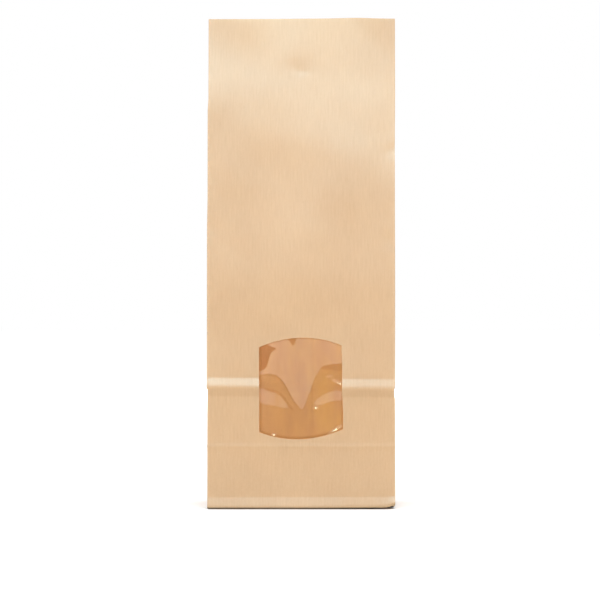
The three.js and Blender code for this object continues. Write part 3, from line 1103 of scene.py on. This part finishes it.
    def wall(self, s: Array, v: Array) -> Array:
        """The wall with rounded folds.

        Args:
            s: Places round the sheet.
            v: Heights.

        Returns:
            Points: the weighted mean of the sharp wall over 5 by 3 places of a small patch of the sheet.
        """
        across = self.crease_radius * np.array([-1.0, -0.5, 0.0, 0.5, 1.0])
        up = self.crease_radius * np.array([-0.7, 0.0, 0.7])
        weights = np.outer([1.0, 2.0, 2.0, 2.0, 1.0], [1.0, 2.0, 1.0])
        total = sum(
            weights[i, j] * self.plain_wall(s + across[i], v + up[j])
            for i in range(len(across))
            for j in range(len(up))
        )
        return total / weights.sum()

    def bent(self, points: Array) -> Array:
        """Moves points up or down by the small bends of the whole bag.

        Args:
            points: The points.

        Returns:
            The points with the drooping fold and the crushed corner, and towards the rim with its rise,
            one slow sine wave and one crest at the right.
        """
        x, y, z = points[..., 0], points[..., 1], points[..., 2]
        near_rim = smooth_step(z, *self.rim_heights)
        wave = self.rim_lift + self.rim_wave * np.sin(x / self.rim_wave_reach + self.rim_wave_start)
        wave = wave + self.rim_crest * hump(x - self.rim_crest_place, self.rim_crest_reach)
        lift = self.shape.height_shift(x, y, z) + near_rim * wave
        return np.stack([x, y, z + lift], axis=-1)

    def shrunk(self, ring: Array, inset: float, level: float) -> Array:
        """A ring moved in from the foot's outline by an inset on every side, and set at a level."""
        factors = [1.0 - inset / self.shape.half_width, 1.0 - inset / self.shape.half_depth, 0.0]
        return ring * factors + [0.0, 0.0, level]

    def underside(self, columns: Array) -> Array:
        """The rows from the middle of the base out to the foot's roll.

        Args:
            columns: Places round the sheet.

        Returns:
            Rings: shrunk flat ones, then a short slope down, then a quarter round up to the walls.
        """
        shape = self.shape
        foot = self.wall(columns, np.zeros_like(columns))
        angles = np.radians(self.roll_turns)
        insets = shape.foot_tuck * (1.0 - np.sin(angles))
        levels = shape.foot_roll * (1.0 - np.cos(angles))
        roll = [self.shrunk(foot, inset, level) for inset, level in zip(insets, levels, strict=True)]
        slope = [self.shrunk(foot, shape.foot_tuck + inset, level) for inset, level in self.slope_rings]
        flat = [slope[0] * [part, part, 1.0] for part in self.flat_parts]
        return np.stack([*flat, *slope, *roll])

    def wear_and_light_marks(self, s: Array, v: Array) -> Array:
        """How worn the walls are, and where pale colour paints light on them.

        Args:
            s: Places round the sheet.
            v: Heights.

        Returns:
            The most of what each fold and edge gives: the four vertical folds, the pleats' middles,
            the slanting creases below them, the two folds across, the foot's crest and the rim, and a
            painted lightening of the lower walls that fades out at the fold. The wear of the fold across
            sits a little above its crest, where it also paints part of the fold's highlight.
        """
        shape = self.shape
        from_corner = np.abs(s[..., None] - shape.panel_starts).min(-1)
        _, right_start, _, left_start, _ = shape.panel_starts
        middles = np.array([right_start, left_start]) + shape.half_depth
        from_middle = np.abs(s[..., None] - middles).min(-1)
        on_crease = (from_middle < shape.half_depth) & (v < shape.half_depth)
        from_crease = np.where(on_crease, np.abs(shape.half_depth - from_middle - v), np.inf)
        marks = [
            self.corner_wear.at(from_corner),
            self.pleat_wear.at(from_middle),
            self.crease_wear.at(from_crease),
            self.fold_wear_and_highlight.at(v - shape.fold_height - self.fold_highlight_rise),
            self.half_fold_wear.at(v - shape.half_fold_height),
            self.foot_wear.at(v - shape.foot_crest),
            self.rim_wear.at(v - shape.height),
            self.lower_lightening * (1.0 - smooth_step(v, 0.0, shape.fold_height)),
        ]
        return np.clip(np.max(np.stack(np.broadcast_arrays(*marks)), axis=0), 0.0, 1.0)

    def wall_layers(self, s: Array, v: Array) -> Array:
        """How many layers of paper the walls count as.

        Args:
            s: Places round the sheet.
            v: Heights.

        Returns:
            1, and on the back a share of the seam's relief more, so that its glued seam shows faintly.
        """
        shape = self.shape
        back_x = shape.panel_starts[Panel.BACK.value] + shape.half_width - s
        on_back = np.abs(back_x) < shape.half_width
        return 1.0 + self.seam_shade * on_back * shape.seam_relief(back_x, v) / shape.paper

    def wall_shade(self, s: Array, v: Array) -> Array:
        """Where painted shade darkens the walls.

        Args:
            s: Places round the sheet.
            v: Heights.

        Returns:
            A faint painted shade on the fold's lower flank, which grows from the front's left edge to its
            right one.
        """
        rightwards = np.clip(s / self.shape.half_width - 1.0, -1.0, 1.0)
        shade_band = self.fold_shade * (1.0 + self.fold_shade_rightwards * rightwards)
        fade_low, fade_high = self.fold_shade_end
        return shade_band * smooth_step(v, *self.fold_shade_start) * smooth_step(-v, -fade_high, -fade_low)

    def base_places(self, corners: Array) -> Array:
        """Places on the flat sheet for corners on the base: y runs down from the front's lower edge."""
        return corners[..., :2] * [1.0, -1.0] + [self.shape.half_width, -self.shape.half_depth]

    def cell_places(self, columns: Array, base_count: int, s: Array, v: Array) -> Array:
        """Places on the flat sheet for the corners of the grid's cells.

        Args:
            columns: Places round the sheet.
            base_count: How many rows the base has below the walls' rows.
            s: The walls' places round the sheet.
            v: The walls' heights.

        Returns:
            An array of rows - 1 by columns by 4 corners by 2, where the last column ends at the girth.
        """
        base_s = np.repeat(columns[None], base_count, axis=0)
        base_v = np.repeat(np.linspace(*self.base_rows, base_count)[:, None], len(columns), axis=1)
        all_s = np.concatenate([base_s, s])
        all_v = np.concatenate([base_v, v])
        after_s = np.concatenate([all_s[:, 1:], np.full((len(all_s), 1), self.shape.girth)], axis=1)
        here = np.stack([all_s, all_v], axis=-1)
        after = np.stack([after_s, np.roll(all_v, -1, axis=1)], axis=-1)
        return np.stack([here[:-1], after[:-1], after[1:], here[1:]], axis=2)

    def uncut_cells(self, columns: Array, heights: Array, base_count: int) -> Array:
        """Which cells of the grid are paper.

        Args:
            columns: Places round the sheet.
            heights: The walls' heights.
            base_count: How many rows the base has below the walls' rows.

        Returns:
            An array of rows - 1 by columns: true for all cells but the ones inside the window.
        """
        window = self.window
        ends = np.append(columns[1:], self.shape.girth)
        middles = (columns + ends) / 2.0 - self.shape.half_width
        in_window = (middles > window.left) & (middles < window.right)
        first_row = base_count + int(np.argmin(np.abs(heights - window.low)))
        last_row = base_count + int(np.argmin(np.abs(heights - window.high)))
        uncut = np.ones((base_count + len(heights) - 1, len(columns)), bool)
        uncut[first_row:last_row, in_window] = False
        return uncut

    def walls_and_base(self) -> Sheet:
        """The skin as one grid: from the base's middle out, round the foot and up to the rim.

        Returns:
            The sheet, without the cells inside the window, closed by a fan in the base's middle. Outside
            the base's flat rings, what lies low gets painted shade, which darkens the hollow by the floor.
        """
        shape = self.shape
        columns, heights = self.columns(), self.heights()
        base = self.bent(self.underside(columns))
        s, v = np.meshgrid(columns, heights)
        on_front = s <= shape.width
        warped_x, warped_v = self.window.warp(s - shape.half_width, v)
        s = np.where(on_front, warped_x + shape.half_width, s)
        v = np.where(on_front, warped_v, v)
        walls = self.bent(self.wall(s, v))
        points = np.concatenate([base, walls]).reshape(-1, 3)
        faces = Sheet.grid_faces(len(base) + len(walls), len(columns), wraps=True)
        places = self.cell_places(columns, len(base), s, v)
        flat_count = len(self.flat_parts)
        on_base = slice(0, flat_count + 1)
        places[on_base] = self.base_places(points[faces[on_base]])
        centre = len(points)
        _, base_level = self.slope_rings[0]
        points = np.concatenate([points, [[0.0, 0.0, base_level]]])
        ring = np.arange(len(columns))
        fan = np.stack(
            [np.full_like(ring, centre), np.roll(ring, -1), ring, np.full_like(ring, -1)], axis=-1
        )
        fan_places = self.base_places(points[np.maximum(fan, 0)])
        on_paper = self.uncut_cells(columns, heights, len(base))
        clean = np.zeros(base.shape[:2])
        marks = np.concatenate([clean, self.wear_and_light_marks(s, v)]).ravel()
        layers = np.concatenate([clean + self.base_layers, self.wall_layers(s, v)]).ravel()
        # Painted shade: the band on the fold's lower flank, and below it the hollow under the foot.
        soil = np.append(np.concatenate([clean, self.wall_shade(s, v)]).ravel(), 0.0)
        shaded = slice(flat_count * len(columns), -1)
        shade_low, shade_high = self.under_shade
        soil[shaded] += smooth_step(-points[shaded, 2], -shade_high, -shade_low)
        return Sheet(
            points=points,
            faces=np.concatenate([faces[on_paper], fan]),
            corner_sheet=np.concatenate([places[on_paper], fan_places]),
            fold=np.append(marks, 0.0),
            layers=np.append(layers, self.base_layers),
            inside=np.zeros(len(points)),
            soil=soil,
        )

    def flap(self, direction: float, level: float) -> Sheet:
        """One outer flap of the base: a trapezoid with 45 degree ends.

        Args:
            direction: 1 for the flap that starts at the front, -1 for the one that starts at the back.
            level: The height of its underside.

        Returns:
            The flap as a nearly flat sheet that faces down: at each depth its half width is the bag's
            half width less the distance from its fold, and the product of two sines lifts it a little.
        """
        shape = self.shape
        u = np.linspace(-1.0, 1.0, self.flap_columns)
        y = np.linspace(-shape.half_depth + shape.foot_tuck, self.flap_reach, self.flap_rows)
        across, depth = np.meshgrid(u, y)
        half = shape.half_width - shape.half_depth - depth
        x = across * half
        reach_x, reach_y = self.flap_sag_reach
        sag = self.flap_sag * np.sin(x / reach_x + direction) * np.sin(depth / reach_y)
        points = np.stack([x * direction, depth * direction, level + np.abs(sag)], axis=-1)
        faces = Sheet.grid_faces(len(y), len(u), wraps=False)[..., ::-1].reshape(-1, 4)
        flat = self.bent(points).reshape(-1, 3)
        from_end, from_edge = (1.0 - np.abs(across)) * half, depth - self.flap_reach
        edges = np.maximum(hump(from_end, self.flap_end_reach), hump(from_edge, self.flap_edge_reach))
        clean = np.zeros(len(flat))
        return Sheet(
            points=flat,
            faces=faces,
            corner_sheet=self.base_places(flat[faces]),
            fold=self.flap_wear * edges.ravel(),
            layers=clean + self.base_layers,
            inside=clean,
            soil=clean,
        )

    def build(self) -> bpy.types.Object:
        """Makes the paper piece, which stands for the frame's paper.

        Returns:
            The piece: the skin and the two flaps under it, each closed to the paper's thickness.
        """
        lower, upper = self.flap_levels
        sheets = [self.walls_and_base(), self.flap(1.0, lower), self.flap(-1.0, upper)]
        piece = joined(sheets).thickened(self.thickness).build("ribbed_paper_bag")
        piece.data.materials.append(self.finish.material())
        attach(piece, "root")
        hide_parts("paper_bag")
        return piece


@dataclass(frozen=True)
class Facet:
    """A part of the film that is turned up or down, between a lower and an upper line.

    The lines have a height at each place across. The field after the tilt says how far the film's
    darker tint covers there.
    """

    across: tuple[float, ...]
    low: tuple[float, ...]
    high: tuple[float, ...]
    tilt: float
    darkening: float = 0.0
    softness: float = 0.35

    def at(self, x: Array, z: Array) -> Array:
        """How far the facet turns the film.

        Args:
            x: Places across the film.
            z: Heights.

        Returns:
            The tilt between the facet's lines, fading over its edges to 0.
        """
        low, high = np.interp(x, self.across, self.low), np.interp(x, self.across, self.high)
        soft = self.softness
        between = smooth_step(z - low, -soft, soft) * smooth_step(high - z, -soft, soft)
        from_left, from_right = x - self.across[0], self.across[-1] - x
        beside = smooth_step(from_left, -soft, soft) * smooth_step(from_right, -soft, soft)
        return self.tilt * between * beside


@dataclass
class WindowFilm:
    """The clear film behind the window: glued round its border, slack and wrinkled inside."""

    shape: BagShape
    window: WindowOutline
    finish: ClearFilm
    width: float = 60.0
    height: float = 70.0
    step: float = 0.4
    gap: float = 0.3
    slack: float = 1.5
    margin: float = 7.0
    thickness: float = 0.06
    # How far the painted shadow along the cut edge fades out.
    edge_shadow_reach: float = 0.55
    middle: float = 64.0
    facets: tuple[Facet, ...] = (
        Facet(
            across=(
                -24.0, -20.8, -16.6, -13.4, -10.7, -8.6, -7.0, -5.4, -3.8, -1.7, 0.1,
                1.2, 2.5, 3.6, 5.2, 6.2, 7.8, 9.4, 10.7, 13.1, 16.8, 23.7,
            ),
            low=(
                71.4, 71.6, 72.0, 71.1, 69.0, 66.3, 63.2, 60.0, 57.3, 54.7, 52.8,
                53.9, 56.8, 60.0, 63.7, 67.4, 70.6, 73.2, 75.4, 76.4, 77.2, 77.5,
            ),
            high=(ABOVE_FILM,) * 22,
            tilt=0.062,
        ),
        Facet(
            across=(-24.0, -21.9, -19.8, -18.4, -17.5, -16.6, -15.5, -13.9, -11.8),
            low=(73.2, 73.5, 74.3, 75.9, 79.1, 82.3, 83.8, 84.9, 86.5),
            high=(86.3, 86.6, 87.2, 87.4, 87.0, 86.6, 86.2, 85.6, 84.4),
            tilt=-0.085,
            darkening=1.0,
        ),
        Facet(
            across=(-7.3, -6.0, -4.4, -3.3, -2.5),
            low=(90.7, 88.9, 86.8, 88.6, 90.7),
            high=(ABOVE_FILM,) * 5,
            tilt=-0.06,
            darkening=0.5,
        ),
        Facet(
            across=(-20.8, -16.6, -13.4, -10.7, -8.6, -7.0, -5.4, -3.8, -1.7),
            low=(70.6, 70.8, 69.8, 67.6, 64.8, 61.7, 58.6, 56.2, 54.0),
            high=(71.6, 72.0, 71.1, 69.0, 66.3, 63.2, 60.0, 57.3, 54.7),
            tilt=-0.01,
            darkening=0.35,
        ),
        Facet(
            across=(-19.2, -16.0, -13.4, -10.7, -8.6, -6.2, -4.4),
            low=(63.7, 62.6, 61.9, 60.0, 57.3, 53.6, 52.2),
            high=(64.5, 63.6, 63.1, 61.6, 59.4, 55.6, 53.6),
            tilt=-0.01,
            darkening=0.35,
        ),
        Facet(
            across=(10.7, 13.1, 16.8, 23.7),
            low=(74.6, 74.2, 73.7, 73.0),
            high=(75.4, 76.4, 77.2, 77.5),
            tilt=-0.01,
            darkening=0.4,
        ),
        Facet(
            across=(-24.0, -21.9, -19.2, -16.0, -13.4, -10.7, -8.6, -6.2),
            low=(57.3, 56.8, 55.8, 55.2, 54.7, 54.1, 53.7, 53.6),
            high=(65.3, 64.7, 63.7, 62.6, 61.9, 60.0, 57.3, 53.6),
            tilt=0.055,
        ),
        Facet(
            across=(6.0, 8.4, 11.0, 13.7, 16.3, 19.5, 23.7),
            low=(56.0, 55.2, 55.6, 56.5, 57.2, 57.6, 58.2),
            high=(56.3, 58.8, 60.5, 61.9, 62.9, 63.7, 64.2),
            tilt=0.062,
        ),
        Facet(across=(12.4, 14.5, 17.2), low=(69.6, 70.0, 70.6), high=(71.0, 71.6, 71.4), tilt=0.045),
        Facet(across=(6.3, 7.0, 7.7), low=(42.0, 41.4, 42.0), high=(50.6, 51.6, 50.6), tilt=0.030),
        Facet(across=(-14.6, -12.9, -11.3), low=(51.9, 50.8, 51.9), high=(52.1, 53.0, 52.1), tilt=0.035),
        Facet(across=(-10.8, -9.2, -7.8), low=(49.9, 48.8, 49.9), high=(50.1, 51.0, 50.1), tilt=0.035),
    )
    bumps: tuple[Dent, ...] = (
        Dent(across=7.6, up=52.8, half_width=1.2, half_height=1.1, height=0.35),
        Dent(across=-14.7, up=38.5, half_width=1.2, half_height=1.1, height=0.36),
        Dent(across=18.5, up=41.2, half_width=4.4, half_height=1.2, height=0.40, turn=32.0),
        Dent(across=20.2, up=65.7, half_width=3.8, half_height=1.25, height=0.315, turn=-30.0),
    )
    streaks: Ripples = Ripples(seed=5, count=12, shortest=2.2, longest=9.0, height=0.007)
    streak_stretch: float = 7.0

    def tilt(self, x: Array, z: Array) -> Array:
        """How far the film is turned up: its facets, and faint streaks that run mostly up and down."""
        return sum(facet.at(x, z) for facet in self.facets) + self.streaks.at(x, z / self.streak_stretch)

    def build(self) -> bpy.types.Object:
        """Makes the film piece, which stands for the frame's film.

        The glued film lies behind the paper by a small gap. The loose film lies back by its slack, and
        its depth at each height is the running sum of its tilt, less the bumps. From the glued border
        inwards the one turns into the other over the margin.

        Returns:
            The piece. It carries a painted shadow along the window's edge, its darker tint where the facets
            list it, and its bumps with their painted warm glint tint.
        """
        steps_across, steps_up = round(self.width / self.step), round(self.height / self.step)
        columns = np.linspace(-0.5, 0.5, steps_across + 1) * self.width + self.window.centre
        rows = np.linspace(-0.5, 0.5, steps_up + 1) * self.height + self.middle
        x, z = np.meshgrid(columns, rows)
        from_side = self.width / 2.0 - np.abs(x - self.window.centre)
        from_end = self.height / 2.0 - np.abs(z - self.middle)
        loose = smooth_step(np.minimum(from_side, from_end), 0.0, self.margin)
        glued = self.gap + self.shape.paper - self.shape.front_distance(x, z)
        run = np.cumsum(self.tilt(x, z), axis=0) * (rows[1] - rows[0])
        middle_row, middle_column = len(rows) // 2, len(columns) // 2
        run = run - run[middle_row]
        bumps = sum(bump.at(x, z) for bump in self.bumps)
        slack = glued[middle_row, middle_column] + self.slack + run - bumps
        y = glued + loose * np.maximum(0.0, slack - glued)
        points = np.stack([x, y, z], -1).reshape(-1, 3)
        faces = Sheet.grid_faces(len(rows), len(columns), wraps=False).reshape(-1, 4)
        # How far the darker tint covers, carried in the layers channel.
        darkening = sum(facet.darkening * facet.at(x, z) / facet.tilt for facet in self.facets)
        # The bumps, where the gloss's painted warm tint lies.
        raised = sum(bump.at(x, z) / bump.height for bump in self.bumps)
        film = Sheet(
            points=points,
            faces=faces,
            corner_sheet=points[faces][..., [0, 2]],
            # The fold channel carries the painted shadow along the cut edge.
            fold=self.window.painted_edge_shadow(x, z, self.edge_shadow_reach).ravel(),
            layers=1.0 + darkening.ravel(),
            inside=np.zeros(len(points)),
            soil=np.clip(raised, 0.0, 1.0).ravel(),
        )
        piece = film.thickened(self.thickness, second_side_share=1.0).build("wrinkled_window_film")
        piece.data.materials.append(self.finish.material())
        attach(piece, "root")
        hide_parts("window_film")
        return piece


class Reach(Enum):
    """What a light acts on: everything, only matt surfaces or only their sheen."""

    ALL = (True, True)
    MATT = (True, False)
    SHEEN = (False, True)


@dataclass(frozen=True)
class SoftLight:
    """One soft studio light: a rectangle that faces a point on the bag."""

    name: str
    place: tuple[float, float, float]
    width: float
    height: float
    watts: float
    reach: Reach = Reach.ALL
    colour: tuple[float, float, float] = (1.0, 1.0, 1.0)
    target: tuple[float, float, float] = (0.0, 0.0, 0.15)

    def build(self) -> bpy.types.Object:
        """Makes the light.

        Returns:
            The light at its place, turned to its target.
        """
        data = bpy.data.lights.new(self.name, "AREA")
        data.shape = "RECTANGLE"
        data.size, data.size_y = self.width, self.height
        data.energy = self.watts
        data.color = self.colour
        light = bpy.data.objects.new(self.name, data)
        light.location = self.place
        light.visible_diffuse, light.visible_glossy = self.reach.value
        facing = Vector(self.target) - Vector(self.place)
        light.rotation_euler = facing.to_track_quat("-Z", "Y").to_euler()
        bpy.context.scene.collection.objects.link(light)
        return light


@dataclass
class Studio:
    """A plain pale floor under plain soft light, with nothing behind the bag but white."""

    floor_size: float = 16.0
    floor_seen: Colour = (0.9, 0.9, 0.9, 1.0)
    floor_mirrored: Colour = (0.12, 0.12, 0.12, 1.0)
    world_seen: Colour = (1.0, 1.0, 1.0, 1.0)
    world_mirrored: Colour = (0.80, 0.97, 1.32, 1.0)
    ambient: float = 0.95
    mirror_low: float = 0.10
    mirror_high: float = 1.05
    mirror_rise: tuple[float, float] = (0.035, 0.085)
    overhead: float = 0.15
    overhead_spread: float = 70.0
    lights: tuple[SoftLight, ...] = (
        SoftLight(
            name="front_light",
            place=(0.0, -3.8, 3.8),
            width=4.0,
            height=2.8,
            watts=174.0,
            reach=Reach.MATT,
        ),
        SoftLight(
            name="sheen_light",
            place=(-0.1, -2.10, 1.00),
            width=1.4,
            height=0.6,
            watts=25.0,
            reach=Reach.SHEEN,
            colour=(0.50, 0.96, 1.12),
        ),
        SoftLight(
            name="rear_light",
            place=(0.0, 1.9, 0.14),
            width=1.8,
            height=0.22,
            watts=22.0,
            reach=Reach.MATT,
        ),
    )

    def floor(self) -> bpy.types.Object:
        """Makes the floor.

        Returns:
            A flat square sheet, duller in mirrored light than to the eye.
        """
        half = self.floor_size / 2.0
        mesh = bpy.data.meshes.new("floor")
        corners = [(-half, -half, 0.0), (half, -half, 0.0), (half, half, 0.0), (-half, half, 0.0)]
        mesh.from_pydata(corners, [], [(0, 1, 2, 3)])
        material = bpy.data.materials.new("pale_floor")
        material.use_nodes = True
        graph = Graph(material.node_tree)
        is_glossy = graph.add("LightPath").outputs["Is Glossy Ray"]
        pale = graph.add("BsdfDiffuse", {"Color": self.floor_seen})
        dull = graph.add("BsdfDiffuse", {"Color": self.floor_mirrored})
        graph.add("OutputMaterial", {"Surface": graph.shared(is_glossy, pale, dull).outputs[0]})
        mesh.materials.append(material)
        floor = bpy.data.objects.new("floor", mesh)
        bpy.context.scene.collection.objects.link(floor)
        return floor

    def surroundings(self) -> None:
        """Makes the world: white to the eye, dim as light, and brighter overhead where it is mirrored."""
        world = bpy.data.worlds.new("studio")
        bpy.context.scene.world = world
        world.use_nodes = True
        graph = Graph(world.node_tree)
        path = graph.add("LightPath")
        way = graph.add("SeparateXYZ", {0: graph.add("TexCoord").outputs["Generated"]}).outputs["Z"]
        rising = graph.ranged(way, self.mirror_low, self.mirror_high, self.mirror_rise)
        seen = graph.add("Background", {"Color": self.world_seen, "Strength": 1.0})
        dim = graph.add("Background", {"Color": self.world_seen, "Strength": self.ambient})
        mirrored = graph.add("Background", {"Color": self.world_mirrored, "Strength": rising})
        unseen = graph.shared(path.outputs["Is Glossy Ray"], dim, mirrored)
        mixed = graph.shared(path.outputs["Is Camera Ray"], unseen, seen)
        graph.add("OutputWorld", {"Surface": mixed.outputs[0]})

    def overhead_light(self) -> bpy.types.Object:
        """Makes the light from straight above, a broad one.

        Returns:
            A sun whose energy is pi times the overhead brightness.
        """
        data = bpy.data.lights.new("overhead_light", "SUN")
        data.energy = self.overhead * math.pi
        data.angle = math.radians(self.overhead_spread)
        light = bpy.data.objects.new("overhead_light", data)
        light.location = (0.0, 0.0, 2.0)
        bpy.context.scene.collection.objects.link(light)
        return light

    def build(self) -> None:
        """Makes the floor, the world and the lights, and chooses plain display colours."""
        self.floor()
        self.surroundings()
        for light in self.lights:
            light.build()
        self.overhead_light()
        scene = bpy.context.scene
        scene.view_settings.view_transform = "Standard"
        scene.cycles.max_bounces = 14
        scene.cycles.diffuse_bounces = 8
        scene.cycles.transmission_bounces = 8


@dataclass(frozen=True)
class PhotoCamera:
    """The photo's viewpoint: straight at the front panel from a long way off, level."""

    lens: float = 160.0
    sensor: float = 36.0
    seen_width: float = 0.3183
    front_plane: float = -0.0325
    across: float = -0.00066
    up: float = 0.1111
    nearest: float = 0.05
    farthest: float = 50.0

    def build(self) -> bpy.types.Object:
        """Makes the scene's camera.

        Returns:
            The camera, so far from the front plane that the seen width fills the picture: the seen
            width times the lens length over the sensor width.
        """
        data = bpy.data.cameras.new("camera")
        data.lens, data.sensor_width = self.lens, self.sensor
        data.clip_start, data.clip_end = self.nearest, self.farthest
        camera = bpy.data.objects.new("camera", data)
        away = self.seen_width * self.lens / self.sensor
        camera.location = (self.across, self.front_plane - away, self.up)
        camera.rotation_euler = (math.radians(90.0), 0.0, 0.0)
        bpy.context.scene.collection.objects.link(camera)
        bpy.context.scene.camera = camera
        return camera


def report(piece: bpy.types.Object) -> None:
    """Logs a piece's name and how many triangles its finished mesh has.

    Args:
        piece: The piece.
    """
    seen = piece.evaluated_get(bpy.context.evaluated_depsgraph_get())
    mesh = seen.to_mesh()
    triangles = sum(len(polygon.vertices) - 2 for polygon in mesh.polygons)
    seen.to_mesh_clear()
    LOG.info("%s: %d triangles", piece.name, triangles)


def main() -> None:
    """Loads the frame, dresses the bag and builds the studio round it."""
    logging.basicConfig(level=logging.INFO, format="%(name)s: %(message)s")
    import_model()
    shape, window = BagShape(), WindowOutline()
    PhotoCamera().build()
    report(PaperBody(shape, window, KraftPaper()).build())
    report(WindowFilm(shape, window, ClearFilm()).build())
    Studio().build()


if __name__ == "__main__":
    main()
